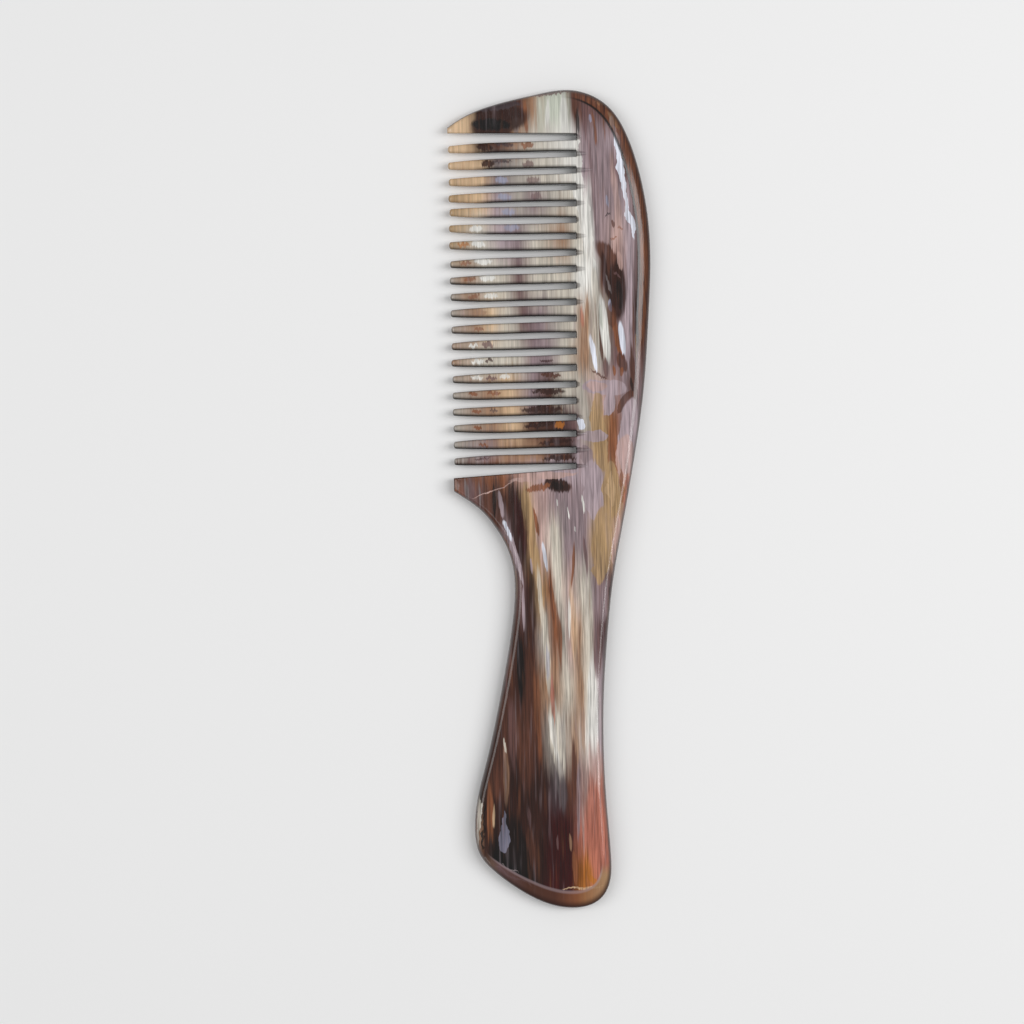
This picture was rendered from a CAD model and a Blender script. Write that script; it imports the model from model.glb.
# A polished horn comb with a handle, lying on a pale floor.
#
# Shapes are worked out in millimetres on a plan of the comb: x counts from the line of the tooth tips
# towards the back, y from the butt towards the head, and z up from the floor. The plan's corner is the
# lowest corner of the CAD box, and the comb is as thick as that box.
#
# The plate (handle, spine and both guards) is one closed surface that is cut into its pieces at the
# CAD nodes' own planes, so their colours and highlights run on across the cuts. The teeth are swept
# one by one from the same thickness rule.

import math

import bmesh
import bpy
import numpy as np
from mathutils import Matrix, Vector
from mathutils.geometry import delaunay_2d_cdt


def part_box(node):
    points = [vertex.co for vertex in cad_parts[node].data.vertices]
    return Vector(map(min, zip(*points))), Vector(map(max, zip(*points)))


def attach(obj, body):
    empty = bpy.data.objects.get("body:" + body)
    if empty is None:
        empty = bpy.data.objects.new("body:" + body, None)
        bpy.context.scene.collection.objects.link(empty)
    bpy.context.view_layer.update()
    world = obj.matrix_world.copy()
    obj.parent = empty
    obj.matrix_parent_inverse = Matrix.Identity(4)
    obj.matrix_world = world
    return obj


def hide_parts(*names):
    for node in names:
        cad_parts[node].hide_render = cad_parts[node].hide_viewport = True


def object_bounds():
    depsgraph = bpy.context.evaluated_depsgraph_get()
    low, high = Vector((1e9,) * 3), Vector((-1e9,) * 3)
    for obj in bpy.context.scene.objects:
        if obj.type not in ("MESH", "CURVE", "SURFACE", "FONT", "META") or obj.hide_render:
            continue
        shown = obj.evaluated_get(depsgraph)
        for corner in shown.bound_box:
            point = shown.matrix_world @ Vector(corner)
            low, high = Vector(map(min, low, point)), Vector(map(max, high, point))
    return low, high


MM = 0.001

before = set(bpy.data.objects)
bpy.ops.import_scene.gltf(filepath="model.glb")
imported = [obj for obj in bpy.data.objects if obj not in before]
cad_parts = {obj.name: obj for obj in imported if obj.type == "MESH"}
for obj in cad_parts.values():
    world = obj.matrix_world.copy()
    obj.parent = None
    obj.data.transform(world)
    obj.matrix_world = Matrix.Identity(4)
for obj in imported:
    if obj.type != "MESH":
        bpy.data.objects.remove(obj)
cad_low, cad_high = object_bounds()
WIDTH, LENGTH, THICKNESS = ((cad_high - cad_low) / MM)[:]
MIDDLE_Z = THICKNESS / 2
rng = np.random.default_rng(7)

# ---------------------------------------------------------------- sizes, in mm

# The outline round the comb from the head's tip to the heel's tip: x, y, how far the rounded rim
# reaches in, and how far that rim is filed to a flat facet (0 round, 1 flat)
OUTLINE = [
    (0.1, 191.4, 0.8, 0.0), (3.7, 193.7, 0.9, 0.0), (10.8, 196.5, 1.1, 0.0), (22.0, 199.1, 1.6, 0.0),
    (30.6, LENGTH, 2.2, 0.2), (35.6, 198.6, 2.6, 0.4), (40.0, 195.4, 2.9, 0.5), (44.2, 188.3, 3.0, 0.5),
    (47.2, 178.3, 3.0, 0.5), (48.8, 168.3, 3.0, 0.5), (WIDTH, 160.0, 3.0, 0.5), (48.5, 144.6, 2.9, 0.4),
    (46.9, 126.0, 2.3, 0.2), (44.2, 109.0, 1.9, 0.0), (41.3, 94.0, 1.8, 0.0), (38.6, 80.0, 1.8, 0.0),
    (36.9, 66.0, 1.8, 0.0), (35.9, 54.0, 1.8, 0.0), (35.5, 40.0, 1.8, 0.0), (36.0, 25.0, 1.9, 0.0),
    (36.8, 12.0, 2.1, 0.1), (36.4, 6.2, 3.0, 0.6), (34.2, 2.2, 4.0, 1.0), (30.9, 0.4, 4.2, 1.0),
    (26.6, 0.0, 4.2, 1.0), (21.2, 1.1, 4.0, 1.0), (16.3, 3.4, 3.6, 0.9), (11.6, 6.5, 3.0, 0.7),
    (7.5, 9.9, 2.4, 0.4), (5.0, 12.9, 1.9, 0.2), (3.9, 16.0, 1.7, 0.1), (3.6, 19.8, 1.6, 0.0),
    (4.1, 25.5, 1.6, 0.0), (6.6, 35.6, 1.6, 0.0), (11.0, 54.6, 1.7, 0.0), (13.6, 68.7, 1.7, 0.0),
    (14.5, 78.0, 1.7, 0.0), (13.9, 84.8, 1.7, 0.0), (12.4, 89.2, 1.6, 0.0), (9.3, 94.4, 1.3, 0.0),
    (6.6, 97.6, 1.1, 0.0), (3.6, 100.0, 0.9, 0.0), (0.1, 102.3, 0.8, 0.0),
]

# The root line, where the slots end: two points on it
ROOT_LOW, ROOT_HIGH = (30.1, 108.8), (31.5, 184.4)
HEEL_SLOT = ((0.1, 105.6), (30.074, 107.4))
HEAD_SLOT = ((0.1, 190.0), (31.587, 189.1))
HEEL_LINE_FRONT = (11.0, 92.3)

# How much each face drops from the plate's face towards the tooth tips and the heel's tip
BLADE_LOSS, BLADE_REACH = 1.65, 31.0
HEEL_LOSS, HEEL_REACH = 1.5, 28.0
POLISH_WAVE = 0.035

TOOTH_COUNT = 20
TOOTH_PITCH = 4.02
FIRST_ROOT_Y = 186.25
TOOTH_RISE = 0.25
ROOT_HALF = 1.3
SPRUNG_TIPS = {5: 0.6, 6: 0.7, 7: 0.6}

# Edges along the slots are broken by this radius, and the notches that the saw left run on from the
# slots' ends by these lengths, from the head to the heel
EDGE = 0.3
NOTCHES = [
    1.2, 2.8, 4.0, 2.7, 2.4, 0.9, 2.7, 2.1, 2.5, 1.3, 2.0, 0.2, 0.2, 0.2, 0.3, 1.1, 0.9, 1.9, 2.5, 3.2,
    2.7,
]
NOTCH_DEPTH = 0.9

# The line of the tooth tips and of the guards' ends
FRONT_X = 0.1

# Spacing of the plate's points: round the rim, over the face, and in from the slots' walls
RIM_SPACING = 0.8
FACE_SPACING = 1.15
WALL_INSETS = (0.04, 0.1, 0.18, 0.3)
WALL_POINTS = 50

# Edges that bend by more than this are drawn sharp
SHARP_ANGLE = 50

# Steps in from the rim's edge, as shares of its reach
RIM_STEPS = np.array([0.012, 0.05, 0.11, 0.19, 0.29, 0.41, 0.55, 0.7, 0.85, 1.0, 1.12])


# ---------------------------------------------------------------- shape rules

def root_x(y):
    return np.interp(y, [0, LENGTH], [root_line(0), root_line(LENGTH)])


def root_line(y):
    return ROOT_LOW[0] + (ROOT_HIGH[0] - ROOT_LOW[0]) * (y - ROOT_LOW[1]) / (ROOT_HIGH[1] - ROOT_LOW[1])


def wave(x, y):
    """From -1 to 1: the slow unevenness of a face polished by hand."""
    first = np.sin(0.17 * x + 0.05 * y + 0.6) + np.sin(0.31 * x - 0.09 * y + 2.1)
    return (first + np.sin(0.11 * y + 0.05 * x) + np.sin(0.07 * y - 0.24 * x + 4.0)) / 4


def half_thickness(x, y):
    forward = np.maximum(root_x(y) - x, 0)
    ramp = np.where(forward < 4, forward ** 2 / 8, forward - 2)
    blade = BLADE_LOSS * ramp / (BLADE_REACH - 2)
    from_tip = np.hypot(x - HEEL_SLOT[0][0], y - 104)
    heel = HEEL_LOSS * np.clip(1 - from_tip / HEEL_REACH, 0, 1) ** 1.5
    slot_y = np.interp(x, [HEEL_SLOT[0][0], HEEL_SLOT[1][0]], [HEEL_SLOT[0][1], HEEL_SLOT[1][1]])
    loss = np.where(y > slot_y + 0.01, blade, heel)
    return MIDDLE_Z - loss - POLISH_WAVE * (1 + wave(x, y))


def rounding(distance, radius):
    """How far a face has dropped at a distance from an edge that is broken by a radius."""
    left = 1 - np.clip(distance / radius, 0, 1)
    return radius * (1 - np.sqrt(1 - left ** 2))


def rim_height(share, facet):
    """Height on the rim, from 0 at its edge to 1 where the face starts."""
    share = np.clip(share, 0, 1)
    rounded = np.sqrt(1 - (1 - share) ** 2)
    shoulder = 0.46 * np.sqrt(np.maximum(1 - (1 - share / 0.1) ** 2, 0))
    filed = np.where(share < 0.1, shoulder, 0.46 + 0.54 * (share - 0.1) / 0.9)
    return rounded + facet * (filed - rounded)


def spline(knots, step):
    """Points about `step` apart on the smooth curve through the knots, with their further columns."""
    knots = np.array(knots, float)
    gaps = np.linalg.norm(np.diff(knots[:, :2], axis=0), axis=1)
    run = np.concatenate(([0], np.cumsum(gaps)))
    count = len(knots)
    system, right = np.eye(count), np.zeros_like(knots)
    for i in range(1, count - 1):
        system[i, i - 1:i + 2] = gaps[i - 1], 2 * (gaps[i - 1] + gaps[i]), gaps[i]
        ahead, behind = (knots[i + 1] - knots[i]) / gaps[i], (knots[i] - knots[i - 1]) / gaps[i - 1]
        right[i, :2] = 6 * (ahead - behind)[:2]
    bend = np.linalg.solve(system, right)
    at = np.linspace(0, run[-1], int(run[-1] / step) + 1)
    i = np.clip(np.searchsorted(run, at, side="right") - 1, 0, count - 2)
    gap = gaps[i][:, None]
    before = (run[i + 1] - at)[:, None] / gap
    after = 1 - before
    curve = (before ** 3 - before) * bend[i] + (after ** 3 - after) * bend[i + 1]
    return before * knots[i] + after * knots[i + 1] + curve * gap ** 2 / 6


def distance_to(points, starts, ends):
    """Distance from each point to the nearest of some segments."""
    best = np.full(len(points), 1e9)
    for a, b in zip(np.array(starts), np.array(ends)):
        way = b - a
        share = np.clip(((points - a) @ way) / (way @ way), 0, 1)
        best = np.minimum(best, np.linalg.norm(points - a - share[:, None] * way, axis=1))
    return best


def inside(points, polygon):
    """True for each point inside a closed polygon."""
    found = np.zeros(len(points), bool)
    for (ax, ay), (bx, by) in zip(polygon, np.roll(polygon, -1, axis=0)):
        crosses = (ay > points[:, 1]) != (by > points[:, 1])
        with np.errstate(divide="ignore", invalid="ignore"):
            at = ax + (points[:, 1] - ay) * (bx - ax) / (by - ay)
        found ^= crosses & (points[:, 0] < at)
    return found


# ---------------------------------------------------------------- teeth and slots

def section_offsets(half, radius):
    """Where the points of a tooth's face lie across it, from one edge to the other."""
    edge = -half + radius * np.array([0, 0.13, 0.33, 0.6, 1.0])
    inner = half - radius
    return np.concatenate((edge, [-inner / 2, 0, inner / 2], -edge[::-1]))


ROOTS = FIRST_ROOT_Y - TOOTH_PITCH * np.arange(TOOTH_COUNT)
SLOT_TOPS = np.concatenate(([HEAD_SLOT[1][1]], ROOTS - ROOT_HALF))
SLOT_BOTTOMS = np.concatenate((ROOTS + ROOT_HALF, [HEEL_SLOT[1][1]]))
SLOT_CENTRES = (SLOT_TOPS + SLOT_BOTTOMS) / 2
SLOT_HALVES = (SLOT_TOPS - SLOT_BOTTOMS) / 2


def notch_drop(x, y):
    """How deep the notches lie at a point of the spine, and how far into one it is, 0 to 1."""
    depth, dark = np.zeros_like(x), np.zeros_like(x)
    for centre, half, length in zip(SLOT_CENTRES, SLOT_HALVES, NOTCHES):
        along = (x - root_x(y)) / length
        half_here = 0.94 * half * np.sqrt(np.clip(1 - along ** 2, 0, 1)) + 1e-6
        across = np.abs(y - centre) / half_here
        here = (along > -1e-3) & (along < 1) & (across < 1)
        run_out = NOTCH_DEPTH * min(1, length) * np.maximum(1 - along, 0) ** 1.3
        depth = np.where(here, run_out * np.maximum(1 - across ** 2, 0) ** 0.8, depth)
        dark = np.where(here, (1 - across ** 4) * np.clip(1.15 - along, 0, 1), dark)
    return depth, dark


# ---------------------------------------------------------------- the plate

def points_by_slots():
    """Points close to the slots' walls and over the notches, where the face bends most."""
    points = []
    for inset in WALL_INSETS:
        points += [(x, y - inset) for x, y in np.linspace(HEEL_SLOT[0], HEEL_SLOT[1], WALL_POINTS)[1:-1]]
        points += [(x, y + inset) for x, y in np.linspace(HEAD_SLOT[1], HEAD_SLOT[0], WALL_POINTS)[1:-1]]
        points += [(FRONT_X + inset, y) for y in np.arange(103.2, 105.4, 0.4)]
    for centre, half, length in zip(SLOT_CENTRES, SLOT_HALVES, NOTCHES):
        across = centre + np.concatenate((half * np.linspace(-0.95, 0.95, 11), [-half - 0.25, half + 0.25]))
        steps = np.concatenate(([*WALL_INSETS, 0.48], np.arange(0.7, max(length, 0.5) + 0.4, 0.22)))
        points += [(root_x(y) + s, y) for y in across for s in steps]
    return np.array(points)


def plate_surface():
    """The plate's front as points, heights over the middle plane, marks and triangles, and its edge loop."""
    rim = spline(OUTLINE, RIM_SPACING)
    rim_xy, reach, facet = rim[:, :2], rim[:, 2], rim[:, 3]
    tangent = np.gradient(rim_xy, axis=0)
    inward = np.stack((tangent[:, 1], -tangent[:, 0]), 1)
    inward /= np.linalg.norm(inward, axis=1)[:, None]

    slot_levels = [c + h * np.array([-0.7, -0.35, 0, 0.35, 0.7]) for c, h in zip(SLOT_CENTRES, SLOT_HALVES)]
    tooth_levels = [y + section_offsets(ROOT_HALF, EDGE) for y in ROOTS]
    levels = np.unique(np.round(np.concatenate(slot_levels + tooth_levels), 6))
    corners = [HEEL_SLOT[0], HEEL_SLOT[1], HEAD_SLOT[1], HEAD_SLOT[0]]
    wall = [(FRONT_X, y) for y in np.arange(102.7, 105.5, 0.4)] + [corners[0]]
    wall += [tuple(p) for p in np.linspace(corners[0], corners[1], WALL_POINTS)[1:]]
    wall += [(float(root_x(y)), y) for y in levels]
    wall += [corners[2]] + [tuple(p) for p in np.linspace(corners[2], corners[3], WALL_POINTS)[1:]]
    wall += [(FRONT_X, y) for y in (190.35, 190.7, 191.05)]
    wall = np.array(wall)
    loop = np.concatenate((rim_xy, wall))

    slot_low = [np.array((root_x(y), y)) for y in SLOT_BOTTOMS]
    slot_high = [np.array((root_x(y), y)) for y in SLOT_TOPS]
    starts = (OUTLINE[-1][:2], HEEL_SLOT[0], HEAD_SLOT[1], HEAD_SLOT[0])
    ends = (HEEL_SLOT[0], HEEL_SLOT[1], HEAD_SLOT[0], OUTLINE[0][:2])
    walls_from = [np.array(p) for p in starts] + slot_low
    walls_to = [np.array(p) for p in ends] + slot_high

    rings, shares, facets = [], [], []
    for step in RIM_STEPS:
        rings.append(rim_xy + inward * (reach * step)[:, None])
        shares.append(np.full(len(rim_xy), step))
        facets.append(facet)
    rings, shares, facets = np.concatenate(rings), np.concatenate(shares), np.concatenate(facets)
    keep = inside(rings, loop) & (distance_to(rings, walls_from, walls_to) > 0.09)
    rings, shares, facets = rings[keep], shares[keep], facets[keep]

    columns, lines = (np.arange(0.5, size, FACE_SPACING) for size in (WIDTH, LENGTH))
    grid = np.stack(np.meshgrid(columns, lines), -1)
    grid[1::2, :, 0] += 0.57
    grid = grid.reshape(-1, 2)
    by_slots = points_by_slots()
    from_head_wall = distance_to(by_slots, [HEAD_SLOT[0]], [HEAD_SLOT[1]])
    by_slots = by_slots[inside(by_slots, loop) & (from_head_wall > 0.03)]
    by_slots = by_slots[distance_to(by_slots, rim_xy[:-1], rim_xy[1:]) > 1.0]
    grid = grid[inside(grid, loop)]
    from_rim = distance_to(grid, rim_xy[:-1], rim_xy[1:])
    nearest = np.argmin(np.linalg.norm(grid[:, None] - rim_xy[None, ::4], axis=2), axis=1)
    grid = grid[from_rim > reach[::4][nearest] * RIM_STEPS[-1] + 0.35]
    grid = grid[distance_to(grid, walls_from, walls_to) > 0.45]
    crowded = np.zeros(len(grid), bool)
    for i, point in enumerate(grid):
        crowded[i] = np.min(np.abs(by_slots - point).max(axis=1)) < 0.25
    grid = grid[~crowded]

    plain = np.concatenate((by_slots, grid))
    points = np.concatenate((loop, rings, plain))
    share = np.concatenate((np.zeros(len(rim_xy)), np.ones(len(wall)), shares, np.full(len(plain), 1.2)))
    facet = np.concatenate((facet, np.zeros(len(wall)), facets, np.zeros(len(plain))))
    polygon = list(range(len(loop)))[::-1]
    made = delaunay_2d_cdt([Vector(p) for p in points], [], [polygon], 1, 1e-5, True)
    xy = np.array([tuple(v) for v in made[0]])
    held = inside(xy[np.array(made[2])].mean(axis=1), loop)
    triangles = [t for t, ok in zip(made[2], held) if ok]
    first = [ids[0] if ids else -1 for ids in made[3]]
    share, facet = share[first], facet[first]
    x, y = xy[:, 0], xy[:, 1]

    from_wall = distance_to(xy, walls_from, walls_to)
    notch, dark = notch_drop(x, y)
    height = half_thickness(x, y) * rim_height(share, facet) - rounding(from_wall, EDGE) - notch
    height = np.where(share == 0, 0, np.maximum(height, 0.02))
    marks = {
        "rim": share,
        "filed": facet,
        "wall": np.clip(1 - from_wall / EDGE, 0, 1) ** 1.5,
        "notch": dark,
    }
    place = {ids[0]: i for i, ids in enumerate(made[3]) if ids}
    ring = [place[i] for i in polygon if i in place]
    return xy, height, marks, triangles, ring


def closed_mesh(name, xy, height, marks, triangles, ring):
    """A mesh with a front and a back from a front surface, joined round its edge loop."""
    count = len(xy)
    level = height <= 0
    back = np.where(level, np.arange(count), count + np.arange(count))
    front_points = np.column_stack((xy, MIDDLE_Z + height))
    back_points = np.column_stack((xy, MIDDLE_Z - height))
    faces = [tuple(t) for t in triangles] + [tuple(int(back[i]) for i in reversed(t)) for t in triangles]
    for a, b in zip(ring, ring[1:] + ring[:1]):
        wall = [a, b, int(back[b]), int(back[a])]
        wall = [v for i, v in enumerate(wall) if v not in wall[:i]]
        if len(wall) > 2:
            faces.append(tuple(reversed(wall)))
    mesh = bpy.data.meshes.new(name)
    mesh.from_pydata(to_frame(np.concatenate((front_points, back_points))), [], faces)
    for mark, values in marks.items():
        layer = mesh.attributes.new(mark, "FLOAT", "POINT")
        layer.data.foreach_set("value", np.concatenate((values, values)).astype(np.float32))
    bm = bmesh.new()
    bm.from_mesh(mesh)
    bmesh.ops.delete(bm, geom=[v for v in bm.verts if not v.link_faces], context="VERTS")
    bmesh.ops.recalc_face_normals(bm, faces=bm.faces)
    bm.to_mesh(mesh)
    bm.free()
    return mesh


def to_frame(points):
    """Points of the plan, in mm, as points of the CAD frame, in metres."""
    return (points * MM + np.array(cad_low)).tolist()


def cut(mesh, name, planes):
    """The part of a mesh behind every plane, each plane a point and a direction on the plan, closed flat."""
    bm = bmesh.new()
    bm.from_mesh(mesh)
    for point, direction in planes:
        spot = to_frame(np.array([(*point, MIDDLE_Z)]))[0]
        geometry = bm.verts[:] + bm.edges[:] + bm.faces[:]
        way = (*direction, 0)
        bmesh.ops.bisect_plane(bm, geom=geometry, dist=2e-7, plane_co=spot, plane_no=way, clear_outer=True)
        open_edges = [e for e in bm.edges if e.is_boundary]
        bmesh.ops.holes_fill(bm, edges=open_edges, sides=0)
    piece = bpy.data.meshes.new(name)
    bm.to_mesh(piece)
    bm.free()
    return piece


# ---------------------------------------------------------------- the teeth

def tooth_mesh(number):
    """A tooth swept from its root to its tip, with a face, a back and two side walls at each station."""
    root_y = ROOTS[number - 1]
    length = float(root_x(root_y)) - rng.uniform(0, 0.25)
    tip_x = float(root_x(root_y)) - length
    sway, thick, slim = rng.uniform(-0.12, 0.12), rng.uniform(-0.05, 0.05), rng.uniform(0.97, 1.03)
    near_tip = np.array([0, 0.02, 0.07, 0.15, 0.27, 0.42, 0.6, 0.85, 1.2])
    from_tip = np.concatenate((near_tip, np.linspace(1.7, length, 26)))
    rows, marks = [], []
    for gone in from_tip:
        share = 1 - gone / length
        closing = max((1 - max(1 - gone / 0.6, 0) ** 2.5) ** 0.4, 0.15)
        swell = math.sin(min(gone / 12, 1) * math.pi / 2) ** 0.8
        width = 0.8 + 0.45 * swell + 0.05 * max(gone - 12, 0) / (length - 12)
        half = closing * (width * (slim + (1 - slim) * (1 - share) ** 4))
        root_fade = min((length - gone) / 8, 1)
        radius = min(EDGE + 0.22 * root_fade, 0.75 * half, 0.8 * closing)
        axis = root_y - TOOTH_RISE * share + SPRUNG_TIPS.get(number, 0) * share ** 1.5
        axis += sway * math.sin(share * math.pi) + 0.03 * math.sin(share * 9 + number)
        offsets = section_offsets(half, radius)
        y = axis + offsets
        lean = (root_x(y) - root_x(axis)) * (1 - share)
        x = tip_x + gone + lean
        reach = (half_thickness(x, y) + thick * share) * closing
        from_edge = half - np.abs(offsets)
        top = reach - rounding(from_edge, radius)
        rows.append(np.concatenate((
            np.column_stack((x, y, MIDDLE_Z + top)),
            np.column_stack((x, y, MIDDLE_Z - top))[::-1],
        )))
        shaded = np.where(offsets < 0, 1.3 * radius, 0.6 * radius)
        mark = np.clip(1.25 - from_edge / shaded, 0, 1) * np.where(offsets < 0, 1, 0.4)
        mark = np.maximum(mark, np.clip(1.6 * (1 - closing), 0, 1))
        marks.append(np.concatenate((mark, mark[::-1])))
    around = len(rows[0])
    faces = []
    for i in range(len(rows) - 1):
        for j in range(around):
            k = (j + 1) % around
            faces.append((i * around + j, i * around + k, (i + 1) * around + k, (i + 1) * around + j))
    faces.append(tuple(reversed(range(around))))
    faces.append(tuple((len(rows) - 1) * around + j for j in range(around)))
    mesh = bpy.data.meshes.new(f"tooth_{number:02d}")
    mesh.from_pydata(to_frame(np.concatenate(rows)), [], faces)
    layer = mesh.attributes.new("wall", "FLOAT", "POINT")
    layer.data.foreach_set("value", np.concatenate(marks).astype(np.float32))
    layer = mesh.attributes.new("rim", "FLOAT", "POINT")
    layer.data.foreach_set("value", np.full(len(mesh.vertices), 2.0, np.float32))
    for mark in ("notch", "filed"):
        mesh.attributes.new(mark, "FLOAT", "POINT")
    bm = bmesh.new()
    bm.from_mesh(mesh)
    bmesh.ops.recalc_face_normals(bm, faces=bm.faces)
    bm.to_mesh(mesh)
    bm.free()
    return mesh


# ---------------------------------------------------------------- horn

# Screen colours of the horn's tones
TONES = {
    "ink": (22, 13, 12), "cocoa": (52, 30, 25), "umber": (88, 54, 42), "rust": (136, 84, 56),
    "maroon": (58, 18, 14), "plum": (112, 84, 84), "dusk": (72, 62, 66), "smoke": (124, 114, 114),
    "mauve": (146, 127, 131), "lilac": (174, 156, 162), "stone": (176, 168, 158), "haze": (160, 162, 184),
    "cream": (206, 198, 184), "bone": (230, 228, 222), "snow": (226, 230, 242), "peach": (216, 184, 148),
    "honey": (172, 141, 103), "amber": (176, 108, 44), "tan": (160, 124, 98), "rose": (190, 158, 150),
    "salmon": (176, 108, 90), "sage": (196, 200, 186), "steel": (112, 110, 126),
}

# The ground: the tones that the horn passes through from the tooth tips to the back, each at its x,
# for some heights along the comb. It fades from one height's tones to the next's.
GROUND = [
    (5, "5 umber, 8 ink, 18 ink, 21 maroon, 27 maroon, 30 amber, 34 salmon"),
    (10, "5 umber, 8 ink, 19 ink, 22 maroon, 27 maroon, 31 amber, 34 salmon"),
    (19, "4 tan, 6 cocoa, 10 ink, 14 cocoa, 20 cocoa, 22 maroon, 27 maroon, 30 salmon, 36 salmon"),
    (30, "5 ink, 9 umber, 13 cocoa, 21 cocoa, 24 dusk, 27 umber, 29 plum, 31 rose, 36 salmon"),
    (42, "8 cocoa, 13 umber, 20 umber, 23 stone, 26 stone, 29 tan, 32 bone, 35 lilac"),
    (54, "10 umber, 15 cocoa, 19 umber, 21 tan, 24 tan, 27 cream, 30 tan, 32 cream, 35 lilac"),
    (66, "13 umber, 16 cocoa, 19 umber, 21.5 stone, 24 rust, 26 stone, "
         "28 rose, 30 tan, 32 cream, 34 plum, 37 cocoa"),
    (78, "14 umber, 16 plum, 18 cocoa, 21 honey, 23 rust, "
         "25 cream, 28 rose, 31 cream, 34 mauve, 38 plum"),
    (90, "11 umber, 14 lilac, 16 cocoa, 18.5 honey, 21 rose, 25 cream, "
         "27 mauve, 32 mauve, 34 honey, 38 honey, 40 rose"),
    (101, "0 rust, 4 plum, 8 umber, 15 cocoa, 18 honey, 20 rose, "
          "25 mauve, 31 mauve, 36 lilac, 38 honey, 43 tan"),
    (107, "0 umber, 12 rust, 18 rose, 25 lilac, 35 lilac, 38 honey, 44 salmon"),
    (111, "0 stone, 8 mauve, 13 tan, 20 tan, 24 umber, 29 cocoa, "
          "31 lilac, 35 honey, 39 rust, 42 rose, 46 rose"),
    (119, "0 stone, 10 tan, 15 peach, 19 umber, 26 cocoa, 30 plum, "
          "32 stone, 36 honey, 40 rust, 43 lilac, 47 lilac"),
    (127, "0 stone, 9 tan, 14 peach, 19 mauve, 24 umber, 28 cream, "
          "32 stone, 35 rose, 42 mauve, 44 umber, 47 mauve"),
    (134, "0 tan, 8 cream, 16 cream, 20 mauve, 24 mauve, 28 cream, "
          "32 tan, 36 stone, 40 plum, 43 lilac, 46 plum, 49 mauve"),
    (144, "0 stone, 6 tan, 10 peach, 14 cream, 18 plum, 22 mauve, 26 stone, "
          "30 cream, 32 tan, 36 cream, 40 umber, 43 lilac, 46 cocoa"),
    (154, "0 stone, 4 tan, 9 cream, 13 cream, 17 plum, 21 cream, 29 cream, "
          "32 bone, 35 bone, 37 umber, 42 umber, 44 lilac, 46 umber"),
    (164, "0 honey, 8 cream, 13 lilac, 17 mauve, 21 cream, 28 tan, "
          "31 cream, 35 bone, 36 mauve, 41 rose, 44 lilac, 47 umber"),
    (173, "0 honey, 8 peach, 12 lilac, 17 stone, 21 mauve, 25 stone, "
          "30 cream, 34 bone, 35.5 mauve, 41 mauve, 44 lilac, 46 umber"),
    (181, "0 peach, 8 peach, 12 smoke, 18 stone, 24 cream, 31 bone, "
          "33 lilac, 34 mauve, 39 mauve, 42 plum, 45 umber"),
    (188, "0 peach, 4.6 peach, 7.6 cocoa, 13 umber, 17 tan, 21 cream, "
          "30 bone, 33 mauve, 38 mauve, 41 lilac, 44 umber"),
    (195, "0 peach, 4.6 peach, 7.4 cocoa, 15 cocoa, 18 umber, 21 tan, "
          "25 sage, 29 sage, 31 umber, 36 plum, 40 umber"),
]

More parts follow.
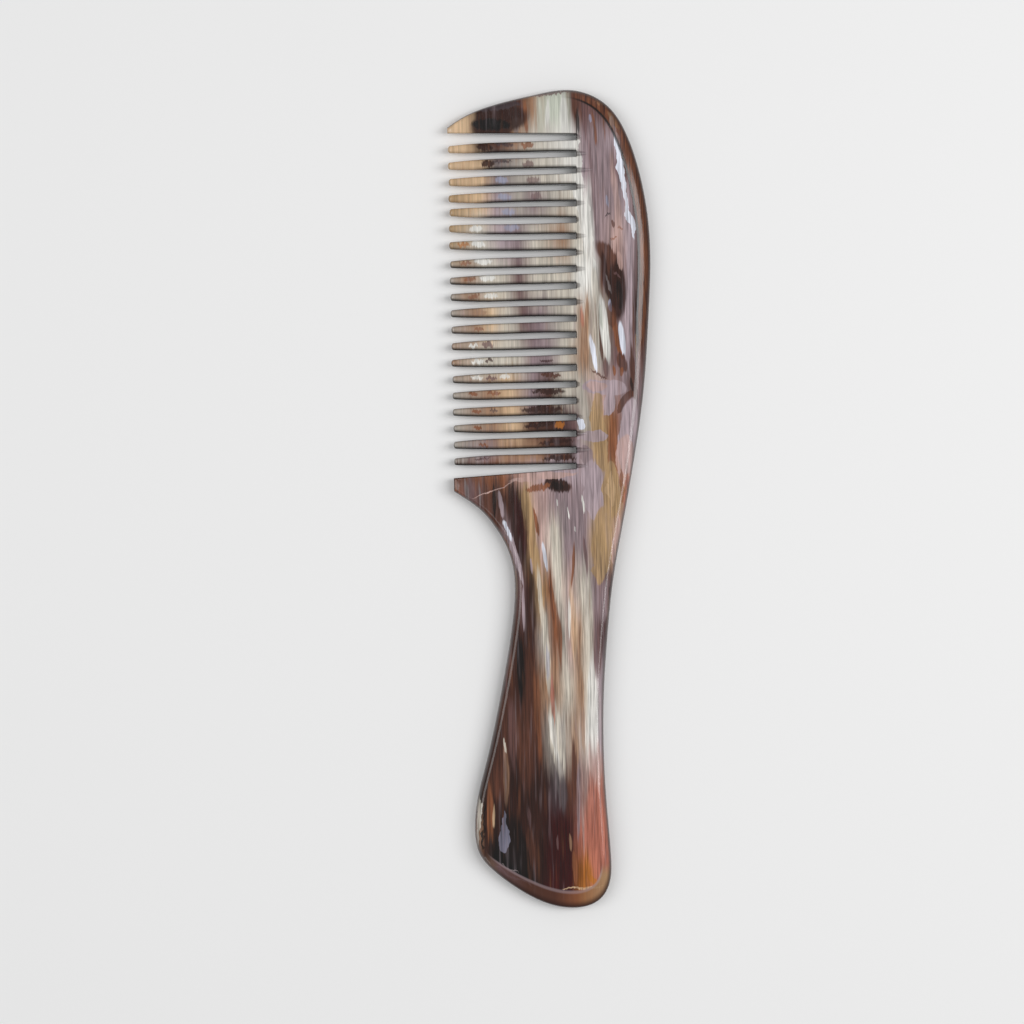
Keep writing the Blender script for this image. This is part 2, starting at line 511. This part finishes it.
# Marks on the ground: tone, where each runs from and to, its width, and how strongly it covers.
# FIBRES end in long feathers along the grain, BRUSHES in short ones, and PATCHES have clean edges.
FIBRES = [
    ("cocoa", 7, 27, 19, 8, 8, 0.9), ("ink", 12, 22, 15, 7, 7, 0.8), ("maroon", 24, 22, 25, 6, 6, 0.8),
    ("rust", 7.6, 31, 7.3, 16, 1.6, 0.8), ("peach", 8.4, 25.5, 8.3, 20, 0.7, 0.8),
    ("umber", 17, 20, 18, 10, 2.5, 0.6), ("plum", 17, 25, 17.4, 20, 0.8, 0.5),
    ("tan", 11.3, 41, 11.5, 25, 1.6, 0.5), ("umber", 16, 50, 16.5, 28, 3.2, 0.7),
    ("plum", 13, 52, 13.4, 34, 2.0, 0.45), ("rust", 19, 58, 20, 36, 1.6, 0.5),
    ("ink", 15.6, 66, 15.8, 50, 2.0, 0.9), ("plum", 13.2, 66, 11.6, 52, 1.2, 0.6),
    ("cream", 23, 50, 25, 32, 3.4, 0.95), ("bone", 22.2, 48, 24.6, 34, 1.4, 0.7),
    ("smoke", 24.4, 37, 25, 25, 2.8, 0.6), ("dusk", 25.2, 33, 25.2, 24, 2.4, 0.7),
    ("umber", 28.2, 42, 28, 26, 1.5, 0.9), ("mauve", 29.3, 36, 28.8, 17, 1.0, 0.8),
    ("salmon", 33, 33, 33.6, 8, 5.2, 0.8), ("rose", 33, 42, 33.6, 30, 3.4, 0.7),
    ("bone", 33, 62, 33, 38, 2.6, 0.8), ("salmon", 23, 57, 23.4, 44, 0.9, 0.8),
    ("rust", 24.6, 75, 25.4, 58, 1.1, 0.85), ("cream", 21.6, 73, 22.4, 52, 1.3, 0.8),
    ("haze", 22, 64, 22.2, 56, 0.8, 0.5), ("tan", 30.4, 60, 30.5, 38, 0.9, 0.7),
    ("rust", 28.6, 72, 29, 62, 0.9, 0.6), ("cocoa", 18.2, 88, 18.6, 60, 2.0, 0.7),
    ("honey", 17.8, 103, 20.4, 78, 2.0, 0.95), ("cream", 20, 84, 21.6, 66, 1.2, 0.7),
    ("rust", 23, 82, 24.4, 66, 1.5, 0.95), ("umber", 22.6, 80, 24, 70, 0.9, 0.6),
    ("cocoa", 14, 104, 16.6, 84, 4.0, 0.95), ("maroon", 15, 101, 17.6, 86, 2.6, 0.7),
    ("plum", 34.4, 70, 34.2, 56, 1.8, 0.85), ("cream", 24, 96, 25.4, 78, 2.2, 0.9),
    ("peach", 28.2, 80, 29, 60, 2.0, 0.5), ("bone", 27.6, 76, 27.6, 66, 0.9, 0.7),
    ("cream", 32.4, 82, 32.8, 62, 1.2, 0.7), ("rust", 29.2, 89, 28.4, 79, 0.9, 0.9),
    ("plum", 31.4, 91, 32, 82, 1.1, 0.8), ("smoke", 27, 100, 27.6, 90, 1.8, 0.5),
    ("mauve", 37, 80, 35.6, 70, 2.4, 0.7), ("cocoa", 38.4, 83, 36.4, 60, 0.7, 0.95),
    ("plum", 4, 104, 4.4, 101, 1.6, 0.6), ("smoke", 3, 105, 3.4, 99, 0.8, 0.7),
    ("smoke", 6.2, 105, 6.6, 98, 0.6, 0.7), ("umber", 8, 104, 8.2, 95, 2.0, 0.9),
    ("ink", 9.9, 103, 10.2, 95, 0.7, 0.8), ("mauve", 37.5, 188, 38, 162, 5.6, 0.45),
    ("plum", 34.4, 190, 36.2, 164, 1.0, 0.5), ("rose", 40, 184, 42.4, 160, 1.6, 0.6),
    ("rust", 35.6, 194, 36.4, 186, 0.7, 0.8), ("rust", 38.2, 193.5, 38.6, 189, 0.7, 0.7),
    ("ink", 31.6, 196, 32.2, 188.5, 0.8, 0.8), ("plum", 33.4, 198, 33.8, 188, 1.1, 0.7),
    ("rust", 19, 198, 19.6, 189, 1.1, 0.85), ("smoke", 16.8, 195, 17, 188, 1.2, 0.7),
    ("sage", 22.8, 199, 22.8, 189, 1.6, 0.7), ("bone", 28.6, 198, 28.8, 188, 2.0, 0.8),
    ("bone", 24.8, 197.4, 24.6, 190, 1.0, 0.7), ("umber", 46.6, 163, 46.7, 150, 0.9, 0.5),
    ("honey", 46.6, 160, 46.6, 152, 0.5, 0.7), ("cocoa", 46.7, 153, 46, 136, 2.4, 0.95),
    ("lilac", 44, 160, 43.6, 140, 1.7, 0.85), ("umber", 44.6, 150, 44.8, 134, 0.7, 0.8),
    ("tan", 33.4, 150, 33, 131, 1.3, 0.9), ("salmon", 32, 147.5, 32.2, 142, 1.0, 0.6),
    ("stone", 35.3, 150, 35.6, 141, 1.0, 0.8), ("umber", 36.2, 146, 37.2, 132, 0.6, 0.9),
    ("rust", 39.6, 146, 41, 135, 1.0, 0.95), ("umber", 44.2, 137, 44.6, 124, 1.3, 0.9),
    ("mauve", 45.8, 136, 46.2, 122, 1.6, 0.8), ("rust", 38.9, 123, 38.8, 107, 1.5, 0.8),
    ("rust", 40, 118, 39.6, 106, 1.0, 0.7), ("stone", 32.4, 125, 32.8, 118, 1.6, 0.8),
]
BRUSHES = [
    ("umber", 36.8, 162, 41.4, 155, 4.2, 0.9), ("cocoa", 37.4, 160, 38.6, 149, 1.6, 0.9),
    ("cocoa", 40.8, 157, 41, 144.4, 4.6, 0.95), ("ink", 41.2, 153, 41.6, 146, 1.6, 0.7),
    ("smoke", 38.2, 154.5, 39.4, 150, 0.6, 0.8), ("rose", 41.4, 160, 42, 156, 1.4, 0.7),
    ("haze", 38.8, 148.4, 39.2, 145.6, 0.9, 0.8), ("plum", 40.2, 155.4, 41.8, 153.6, 0.5, 0.6),
    ("umber", 39, 147, 39.6, 142, 2.2, 0.7), ("bone", 36.8, 149, 38.4, 133, 2.3, 0.97),
    ("sage", 36.5, 147, 37, 141, 0.9, 0.6), ("snow", 41.4, 142.8, 42.3, 135, 1.6, 0.95),
    ("snow", 34.2, 139.6, 35.4, 131, 1.2, 0.9), ("lilac", 43, 148, 43.4, 138, 0.9, 0.7),
    ("cream", 35.2, 156, 35.6, 148, 1.6, 0.6), ("rust", 40.2, 138, 42, 134, 0.9, 0.9),
    ("umber", 41.2, 135, 42.2, 131, 2.6, 0.9), ("rust", 39.6, 132.5, 39.9, 130, 0.7, 0.9),
    ("rust", 41.6, 131.8, 41.4, 129.8, 0.9, 0.8), ("plum", 37.6, 134, 37.9, 129.4, 1.2, 0.8),
    ("tan", 45.3, 140, 45.3, 133.8, 0.5, 0.9), ("ink", 43.8, 129, 44.2, 126, 0.8, 0.7),
    ("umber", 34, 131.6, 38, 129, 0.6, 0.8), ("dusk", 38.2, 169, 39.6, 169.6, 0.4, 0.9),
    ("umber", 39.9, 168, 40.4, 166.4, 0.8, 0.8), ("rust", 39.3, 163.2, 41, 163.8, 0.5, 0.7),
    ("rust", 41.4, 166.2, 42.6, 165.4, 0.5, 0.6), ("haze", 38.6, 174, 39, 171, 0.6, 0.7),
    ("peach", 36.4, 197.2, 39, 195.6, 0.9, 0.8), ("peach", 39.6, 194.6, 42, 190.2, 1.3, 0.85),
    ("cocoa", 35, 199, 40.4, 196, 0.7, 0.7), ("umber", 34.4, 197.4, 38, 193.6, 1.2, 0.6),
    ("haze", 35, 193.6, 35.2, 191.8, 0.7, 0.7), ("bone", 40, 193.4, 40.6, 190, 1.0, 0.8),
    ("plum", 20.6, 198.8, 30, 199.6, 1.0, 0.8), ("cocoa", 7.4, 191, 18.4, 193.8, 7.0, 0.9),
    ("ink", 6.6, 192, 15, 191.6, 3.0, 0.97), ("dusk", 8, 195.4, 18, 196.8, 1.6, 0.8),
    ("cocoa", 13, 193.6, 18.4, 194, 1.8, 0.7), ("cocoa", 22.6, 104, 28, 102.8, 3.4, 0.97),
    ("ink", 24, 103.6, 26.6, 102.8, 2.0, 0.6), ("rust", 18, 102.4, 23.4, 103.4, 1.7, 0.9),
    ("snow", 12, 95, 14, 90, 1.0, 0.9), ("lilac", 11, 102, 12, 96, 1.2, 0.8),
    ("lilac", 14, 91, 16.6, 79, 1.0, 0.9), ("lilac", 16.6, 79, 16.4, 68, 0.8, 0.8),
    ("rust", 12, 91, 14.6, 84, 0.8, 0.8), ("tan", 14.5, 84, 14.8, 76, 0.9, 0.7),
    ("rust", 19.4, 98, 20.6, 91, 0.8, 0.95), ("snow", 21.4, 89.6, 22.4, 82.6, 1.0, 0.85),
    ("bone", 25.2, 100, 25.4, 98, 0.3, 0.8), ("bone", 27.8, 98, 28.2, 95.6, 0.3, 0.9),
    ("bone", 31.4, 101, 31.8, 96.6, 0.5, 0.8), ("bone", 29.4, 93, 29.6, 91.4, 0.3, 0.8),
    ("lilac", 18.6, 86, 18.8, 82, 0.5, 0.8), ("cream", 11.1, 42, 11.6, 38.2, 0.5, 0.8),
    ("plum", 23.8, 18, 23.9, 14.4, 0.4, 0.8), ("tan", 26.9, 18, 27, 14, 0.7, 0.7),
    ("rust", 27.6, 14, 28, 6, 1.2, 0.7), ("amber", 31, 8, 33, 6.4, 1.6, 0.8),
    ("rose", 30, 27, 30.2, 13, 0.5, 0.6), ("cocoa", 7.4, 186.6, 11, 186, 1.7, 0.97),
    ("dusk", 12, 187.2, 16, 186.6, 1.2, 0.8), ("rust", 18.4, 186.8, 20.8, 186.6, 1.6, 0.8),
    ("cocoa", 8.6, 182.4, 11.2, 182.2, 1.8, 0.95), ("dusk", 11, 182.8, 15.6, 182.6, 0.7, 0.8),
    ("plum", 18.8, 182, 20.8, 182, 1.8, 0.7), ("haze", 12, 178.4, 14.4, 178, 1.8, 0.8),
    ("plum", 19.6, 178, 22, 178, 1.8, 0.6), ("haze", 12.6, 174, 15, 174, 1.8, 0.8),
    ("plum", 20.6, 174, 22.6, 174, 1.8, 0.5), ("haze", 13.6, 170.4, 15.8, 170.2, 1.8, 0.8),
    ("haze", 14, 166.4, 16.8, 166.4, 1.8, 0.7), ("bone", 5.4, 166.4, 8, 166.4, 1.6, 0.9),
    ("amber", 2.2, 162.6, 4.8, 162.6, 1.2, 0.7), ("bone", 5.8, 162.8, 8.4, 162.6, 1.7, 0.95),
    ("rust", 2.6, 158.2, 5.2, 158.2, 1.0, 0.7), ("bone", 6.4, 158.4, 10.2, 158.4, 1.5, 0.95),
    ("rust", 3.8, 154, 6.2, 154.2, 1.1, 0.7), ("bone", 7.6, 154.4, 10.8, 154.4, 1.5, 0.95),
    ("rust", 4.6, 149.6, 7, 150, 1.1, 0.7), ("bone", 8.4, 150, 11.4, 150, 1.3, 0.8),
    ("tan", 6, 146, 8.6, 146, 1.4, 0.7), ("rust", 6, 141.8, 8, 141.8, 1.0, 0.7),
    ("bone", 4.4, 137.8, 6.4, 137.8, 1.0, 0.9), ("plum", 8, 138, 10, 138, 1.6, 0.8),
    ("bone", 5, 134, 8, 133.8, 1.2, 0.9), ("maroon", 8.6, 134, 10, 134.4, 0.9, 0.8),
    ("maroon", 21.8, 133.8, 25, 133.6, 0.6, 0.8), ("bone", 4.8, 130, 7.6, 130, 1.0, 0.8),
    ("plum", 8.6, 129.8, 11, 129.8, 0.9, 0.8), ("bone", 12.2, 130.2, 14, 130.2, 1.2, 0.8),
    ("umber", 22, 130.6, 26.6, 130, 1.2, 0.9), ("rust", 4.2, 126, 6.2, 126, 1.0, 0.9),
    ("rust", 8.8, 126.2, 12, 126.2, 1.0, 0.8), ("cocoa", 19.6, 126.4, 27.6, 126.2, 1.4, 0.9),
    ("rust", 5, 121.8, 7, 121.8, 1.0, 0.9), ("cocoa", 17, 122, 27, 122, 1.6, 0.9),
    ("dusk", 9.4, 122, 11, 122, 0.8, 0.7), ("rust", 5.4, 117.8, 7, 117.6, 1.0, 0.95),
    ("cocoa", 17.6, 117.8, 25.2, 118.6, 1.4, 0.95), ("amber", 25.4, 118.2, 27, 118.2, 1.8, 0.8),
    ("rust", 6.4, 113.6, 8.6, 113.4, 0.8, 0.9), ("cocoa", 21, 113.6, 29.4, 114.4, 1.2, 0.95),
    ("cocoa", 22, 109.8, 30, 110.2, 1.3, 0.95), ("maroon", 5, 110, 9, 110.4, 0.5, 0.7),
]
PATCHES = [
    ("lilac", 33, 127.4, 41.8, 126.6, 4.2, 0.97), ("lilac", 38.4, 126, 38.4, 121, 2.6, 0.97),
    ("rose", 33.6, 127.6, 37, 127.2, 2.6, 0.7), ("honey", 35.2, 125, 36.4, 107, 3.8, 0.9),
    ("umber", 40.6, 121, 43.4, 125.6, 2.0, 0.8), ("lilac", 43.8, 123, 42.4, 107, 5.0, 0.97),
    ("rose", 42, 114, 42.6, 104, 4.6, 0.7), ("lilac", 31.4, 115, 37.2, 115, 2.8, 0.85),
    ("snow", 31, 119.6, 31.6, 117, 1.4, 0.9), ("mauve", 31.4, 112, 33.6, 108, 2.6, 0.8),
    ("lilac", 33.6, 108, 34.2, 96, 5.2, 0.8), ("honey", 38.6, 108, 38.4, 96, 4.4, 0.9),
    ("honey", 36.4, 97, 35.2, 80, 4.6, 0.85), ("rust", 41.2, 107, 41.2, 99, 1.2, 0.7),
    ("salmon", 42.8, 106, 41.6, 96, 1.0, 0.7), ("peach", 38.2, 106, 38.4, 98, 1.6, 0.35),
    ("rose", 40, 95.4, 38.4, 83, 1.1, 0.85), ("rose", 14, 104.6, 30, 106.4, 1.7, 0.8),
    ("snow", 40.8, 191, 43.6, 171, 1.7, 0.97), ("snow", 43, 175, 44.9, 163, 1.2, 0.9),
    ("bone", 31.6, 178, 35, 157, 2.8, 0.9), ("bone", 31.2, 188, 32.6, 172, 2.2, 0.85),
    ("steel", 10.6, 20.4, 10.8, 14.6, 2.6, 0.97), ("steel", 10.6, 23.8, 10.7, 19, 0.8, 0.95),
    ("smoke", 9.6, 11.2, 14.2, 9.3, 0.3, 0.9), ("steel", 8.4, 10.4, 17, 5.4, 0.7, 0.6),
    ("smoke", 5.6, 13.6, 7.4, 11, 0.5, 0.8), ("peach", 25, 5, 34.6, 5.2, 0.6, 0.6),
    ("cream", 4.5, 28, 4.5, 13, 0.8, 0.85), ("ink", 5.5, 27, 5.7, 15, 0.5, 0.9),
    ("rose", 4.6, 100.6, 13, 103.5, 0.28, 0.9), ("rose", 12.4, 103.3, 16, 105.4, 0.3, 0.8),
]


# What the gloss adds to the light that a tone returns, and the darkest that a tone may be
GLOSS = 0.006
DARKEST = 0.0012


def linear(tone):
    """A tone as the light that its surface returns, less what its gloss adds."""
    parts = [c / 255 for c in TONES[tone]]
    parts = [c / 12.92 if c <= 0.04045 else ((c + 0.055) / 1.055) ** 2.4 for c in parts]
    return [max(c - GLOSS, DARKEST) for c in parts] + [1.0]


class Nodes:
    """A node material, with helpers that add its nodes and join them up."""

    def __init__(self, name):
        self.material = bpy.data.materials.new(name)
        self.material.use_nodes = True
        self.tree = self.material.node_tree
        self.tree.nodes.clear()

    def add(self, kind, inputs, out=0, **settings):
        """A node of a kind, its inputs set or joined by number or name. Gives one of its outputs."""
        node = self.tree.nodes.new(kind)
        for name, value in settings.items():
            setattr(node, name, value)
        for key, value in inputs.items():
            if isinstance(value, bpy.types.NodeSocket):
                self.tree.links.new(value, node.inputs[key])
            else:
                node.inputs[key].default_value = value
        return None if out is None else node.outputs[out]

    def math(self, operation, a, b=0.0):
        return self.add("ShaderNodeMath", {0: a, 1: b}, operation=operation)

    def plus(self, base, socket, factor):
        """A base with a socket added to it, multiplied by a factor."""
        return self.add("ShaderNodeMath", {0: socket, 1: factor, 2: base}, operation="MULTIPLY_ADD")

    def total(self, *parts):
        """The sum of some sockets, each given with what it is multiplied by."""
        whole = self.math("MULTIPLY", *parts[0])
        for socket, factor in parts[1:]:
            whole = self.plus(whole, socket, factor)
        return whole

    def noise(self, place, across, along, detail=2.0, roughness=0.5):
        """Noise of so many waves a mm across and along the comb, from about -0.5 to 0.5."""
        waves = self.add("ShaderNodeVectorMath", {0: place, 1: (across, along, 0.15)}, operation="MULTIPLY")
        inputs = {"Vector": waves, "Scale": 1.0, "Detail": detail, "Roughness": roughness}
        return self.math("SUBTRACT", self.add("ShaderNodeTexNoise", inputs), 0.5)

    def step(self, value, low, high, to_low=0.0, to_high=1.0):
        inputs = {"Value": value, "From Min": low, "From Max": high, "To Min": to_low, "To Max": to_high}
        return self.add("ShaderNodeMapRange", inputs, interpolation_type="SMOOTHSTEP", clamp=False)

    def across_and_along(self, plan):
        """The x and y of a place on the plan."""
        split = self.add("ShaderNodeSeparateXYZ", {0: plan}).node
        return split.outputs[0], split.outputs[1]

    def mix(self, share, a, b, blend="MIX"):
        return self.add("ShaderNodeMix", {0: share, 6: a, 7: b}, 2, data_type="RGBA", blend_type=blend)

    def band(self, x, text):
        """The tones of one height, looked up at x."""
        node = self.tree.nodes.new("ShaderNodeValToRGB")
        stops = [stop.split() for stop in text.split(", ")]
        ramp = node.color_ramp
        ramp.elements.remove(ramp.elements[1])
        for i, (place, tone) in enumerate(stops):
            element = ramp.elements[0] if i == 0 else ramp.elements.new(float(place) / 50)
            element.position = float(place) / 50
            element.color = linear(tone)
        self.tree.links.new(self.math("DIVIDE", x, 50.0), node.inputs[0])
        return node.outputs[0]

    def mark(self, colour, place, stroke, edge):
        """A long oval of one tone laid over a colour, with an edge that is soft by a share of its width."""
        tone, x0, y0, x1, y1, width, cover = stroke
        half = math.hypot(x1 - x0, y1 - y0) / 2 + width / 4
        way = Vector((x1 - x0, y1 - y0, 0)).normalized()
        middle = Vector(((x0 + x1) / 2, (y0 + y1) / 2, 0))
        away = None
        for axis, reach in ((way, half), (Vector((-way.y, way.x, 0)), width / 2)):
            seen = self.add("ShaderNodeVectorMath", {0: place, 1: axis / reach}, 1, operation="DOT_PRODUCT")
            offset = self.math("SUBTRACT", seen, middle.dot(axis) / reach)
            square = self.math("MULTIPLY", offset, offset)
            away = square if away is None else self.math("ADD", away, square)
        return self.mix(self.step(away, 1 + edge / 2, 1 - edge, 0.0, cover), colour, linear(tone))


def touches(stroke, low, high, spare):
    """True where a mark may reach a piece between two corners, with its feathers' spare length."""
    _, x0, y0, x1, y1, width, _ = stroke
    aside = width / 2 + 1.2
    beside = min(x0, x1) - aside < high.x and max(x0, x1) + aside > low.x
    return beside and min(y0, y1) - aside - spare < high.y and max(y0, y1) + aside + spare > low.y


def streaked(n, colour, plan, fibre, fine):
    """A colour with the horn's fibres in it, softer on the teeth than on the plate."""
    x, y = n.across_and_along(plan)
    threads = n.noise(plan, 2.4, 0.08, 3.0, 0.6)
    on_plate = n.math("MAXIMUM", n.step(x, 30.0, 33.0), n.step(y, 108.0, 106.0))
    depth = n.step(on_plate, 0.0, 1.0, 0.45, 1.0)
    streaks = n.math("MULTIPLY", n.total((fine, 0.7), (fibre, 0.6), (threads, 0.9)), depth)
    light_and_dark = n.step(streaks, -0.3, 0.3, 0.5, 1.38)
    grey = n.add("ShaderNodeCombineColor", {0: light_and_dark, 1: light_and_dark, 2: light_and_dark})
    colour = n.mix(1.0, colour, grey, "MULTIPLY")
    warmth = n.noise(plan, 1.1, 0.06, 2.0)
    colour = n.mix(n.step(warmth, 0.05, 0.3, 0.0, 0.3), colour, linear("rust"))
    colour = n.mix(n.step(warmth, -0.05, -0.3, 0.0, 0.25), colour, linear("lilac"))
    return colour


def edged(n, colour, plan, ground_x, fine):
    """A colour darkened at the rim, the slots' walls and the notches, with the butt's filed facet."""
    x, y = n.across_and_along(plan)
    surface_marks = ("wall", "notch", "rim", "filed")
    wall, notch, rim, filed = (
        n.add("ShaderNodeAttribute", {}, 2, attribute_name=name) for name in surface_marks
    )
    upper = n.step(y, 95.0, 125.0)
    band = n.math("MULTIPLY", n.step(rim, 1.0, 0.9), n.step(filed, 0.1, 0.4))
    band = n.math("MULTIPLY", band, upper)
    rim_tone = n.mix(n.step(fine, -0.2, 0.2), linear("cocoa"), linear("rust"))
    colour = n.mix(n.math("MULTIPLY", band, 0.82), colour, rim_tone)
    line = n.math("MULTIPLY", n.step(rim, 0.82, 0.95), n.step(rim, 1.14, 1.02))
    line = n.math("MULTIPLY", n.math("MULTIPLY", line, n.step(filed, 0.1, 0.4)), upper)
    colour = n.mix(n.math("MULTIPLY", line, 0.9), colour, linear("ink"))
    butt = n.math("MULTIPLY", n.step(y, 24.0, 16.0), n.step(filed, 0.15, 0.5))
    facet = n.math("MULTIPLY", n.step(rim, 1.04, 0.96), butt)
    facet_tone = n.band(ground_x, "6 tan, 9 plum, 16 umber, 23 umber, 28 rust, 36 honey")
    colour = n.mix(n.math("MULTIPLY", facet, 0.85), colour, facet_tone)
    ridge = n.math("MULTIPLY", n.step(rim, 0.8, 0.93), n.step(rim, 1.1, 1.0))
    colour = n.mix(n.math("MULTIPLY", n.math("MULTIPLY", ridge, butt), 0.35), colour, linear("lilac"))
    outline = n.step(rim, 0.5, 0.05, 0.0, 0.93)
    colour = n.mix(outline, colour, linear("cocoa"))
    pale_tips = n.math("MULTIPLY", n.step(x, 11.0, 5.0), n.step(y, 158.0, 166.0))
    dark = n.math("MULTIPLY", wall, n.math("SUBTRACT", 0.95, n.math("MULTIPLY", pale_tips, 0.8)))
    colour = n.mix(dark, colour, linear("ink"))
    colour = n.mix(n.math("MULTIPLY", notch, 0.6), colour, linear("dusk"))
    return colour


def horn(node):
    """The horn of one piece: the ground and the marks that reach it, all in the comb's own coordinates."""
    low, high = ((corner - cad_low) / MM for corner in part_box(node))
    below = [i for i, (height, _) in enumerate(GROUND) if height < low.y - 8]
    above = [i for i, (height, _) in enumerate(GROUND) if height > high.y + 8]
    ground = GROUND[below[-1] if below else 0:above[0] + 1 if above else len(GROUND)]
    n = Nodes(f"horn_{node}")
    metres = n.add("ShaderNodeTexCoord", {}, 3)
    corner = n.add("ShaderNodeVectorMath", {0: metres, 1: tuple(cad_low)}, operation="SUBTRACT")
    plan = n.add("ShaderNodeVectorMath", {0: corner, "Scale": 1 / MM}, operation="SCALE")
    x, y = n.across_and_along(plan)

    broad = n.noise(plan, 0.12, 0.04)
    drift = n.noise(plan, 0.5, 0.08, 3.0)
    fibre = n.noise(plan, 1.7, 0.05, 3.0, 0.65)
    fine = n.noise(plan, 4.5, 0.14, 3.0, 0.6)

    def warped(sideways, along):
        """The plan with its places pushed about by the fibres, and the x and y of that."""
        moved_x = n.plus(n.plus(x, drift, sideways), fine, 0.25 * sideways)
        moved_y = n.plus(n.plus(y, fibre, along), fine, 0.4 * along)
        return n.add("ShaderNodeCombineXYZ", {0: moved_x, 1: moved_y, 2: 0.0}), moved_x, moved_y

    feathered, ground_x, ground_y = warped(1.6, 9.0)
    ground_y = n.plus(ground_y, broad, 5.0)
    brushed = warped(0.9, 2.6)[0]
    wander = n.noise(plan, 0.3, 0.22, 3.0)
    clean = warped(0.5, 0.6)[0]
    clean = n.add("ShaderNodeVectorMath", {0: wander, 1: (3.4, 2.6, 0), 2: clean}, operation="MULTIPLY_ADD")

    colour = n.band(ground_x, ground[0][1])
    for (start, _), (end, band) in zip(ground, ground[1:]):
        colour = n.mix(n.step(ground_y, float(start), float(end)), colour, n.band(ground_x, band))
    layers = ((FIBRES, feathered, 6, 0.55), (BRUSHES, brushed, 2, 0.35), (PATCHES, clean, 1.5, 0.12))
    for strokes, place, spare, edge in layers:
        for stroke in strokes:
            if touches(stroke, low, high, spare):
                colour = n.mark(colour, place, stroke, edge)

    colour = streaked(n, colour, plan, fibre, fine)
    colour = edged(n, colour, plan, ground_x, fine)

    scratches = n.noise(plan, 2.5, 0.3, 3.0)
    height = n.total((scratches, 1.0), (n.noise(plan, 0.3, 0.12), 3.0))
    bump = n.add("ShaderNodeBump", {"Strength": 0.06, "Distance": 0.0002, "Height": height})
    rough = n.step(scratches, -0.4, 0.4, 0.1, 0.2)
    surface = {"Base Color": colour, "Roughness": rough, "Normal": bump, "IOR": 1.5}
    shader = n.add("ShaderNodeBsdfPrincipled", surface)
    n.add("ShaderNodeOutputMaterial", {0: shader}, None)
    return n.material


# ---------------------------------------------------------------- pieces

def show(mesh, node):
    """Puts a mesh in the scene as the visual piece of a CAD node."""
    mesh.materials.append(horn(node))
    mesh.shade_smooth()
    mesh.set_sharp_from_angle(angle=math.radians(SHARP_ANGLE))
    piece = bpy.data.objects.new(f"horn_{node}", mesh)
    bpy.context.scene.collection.objects.link(piece)
    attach(piece, "root")
    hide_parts(node)


plate = closed_mesh("plate", *plate_surface())
root_way = Vector((ROOT_HIGH[0] - ROOT_LOW[0], ROOT_HIGH[1] - ROOT_LOW[1])).normalized()
root_front = (-root_way.y, root_way.x)
heel_way = Vector((HEEL_SLOT[1][0] - HEEL_LINE_FRONT[0], HEEL_SLOT[1][1] - HEEL_LINE_FRONT[1])).normalized()
heel_front = (-heel_way.y, heel_way.x)
below_heel_slot, above_heel_slot = (HEEL_SLOT[1], (0, 1)), (HEEL_SLOT[1], (0, -1))
CUTS = {
    "handle": [below_heel_slot, (HEEL_LINE_FRONT, heel_front)],
    "heel_guard": [below_heel_slot, (HEEL_LINE_FRONT, (-heel_front[0], -heel_front[1]))],
    "spine": [(ROOT_LOW, root_front), above_heel_slot],
    "head_guard": [(HEAD_SLOT[1], (0, -1)), (ROOT_LOW, (-root_front[0], -root_front[1]))],
}
for node, planes in CUTS.items():
    show(cut(plate, node, planes), node)
for number in range(1, TOOTH_COUNT + 1):
    show(tooth_mesh(number), f"tooth_{number:02d}")

# ---------------------------------------------------------------- floor, light and camera

floor_mesh = bpy.data.meshes.new("floor")
FLOOR_HALF = 1.5
floor_corners = [(FLOOR_HALF * x, FLOOR_HALF * y, 0) for x, y in ((-1, -1), (1, -1), (1, 1), (-1, 1))]
floor_mesh.from_pydata(floor_corners, [], [(0, 1, 2, 3)])
floor = bpy.data.objects.new("floor", floor_mesh)
bpy.context.scene.collection.objects.link(floor)
paint = Nodes("floor_paint")
paint_shader = paint.add("ShaderNodeBsdfPrincipled", {"Base Color": (0.9, 0.9, 0.9, 1), "Roughness": 0.6})
paint.add("ShaderNodeOutputMaterial", {0: paint_shader}, None)
floor_mesh.materials.append(paint.material)

world = bpy.data.worlds.new("studio")
bpy.context.scene.world = world
world.use_nodes = True
background = world.node_tree.nodes["Background"]
background.inputs["Color"].default_value = (1.0, 1.0, 1.0, 1)
background.inputs["Strength"].default_value = 0.36


def softbox(name, place, size, power):
    """An oblong area light over the comb, aimed at its middle."""
    light = bpy.data.lights.new(name, "AREA")
    light.shape = "RECTANGLE"
    light.size, light.size_y = size
    light.energy = power
    lamp = bpy.data.objects.new(name, light)
    lamp.location = place
    lamp.rotation_euler = (-Vector(place)).to_track_quat("-Z", "Y").to_euler()
    bpy.context.scene.collection.objects.link(lamp)


softbox("key", (0.62, 0.1, 0.95), (0.45, 0.9), 6.4)
softbox("fill", (-0.62, 0.06, 0.95), (0.45, 0.9), 3.2)

camera_data = bpy.data.cameras.new("camera")
camera = bpy.data.objects.new("camera", camera_data)
bpy.context.scene.collection.objects.link(camera)
SENSOR_WIDTH = 36
CAMERA_HEIGHT, VIEW_SIZE, ROLL = 1.0, 0.2506, 1.1
AIM = Vector((-0.01045, -0.00293))
camera.location = (AIM.x, AIM.y, CAMERA_HEIGHT)
camera.rotation_euler = (0, 0, math.radians(-ROLL))
camera_data.sensor_width = SENSOR_WIDTH
camera_data.lens = SENSOR_WIDTH * (CAMERA_HEIGHT - MIDDLE_Z * MM) / VIEW_SIZE
bpy.context.scene.camera = camera
bpy.context.scene.view_settings.view_transform = "Standard"
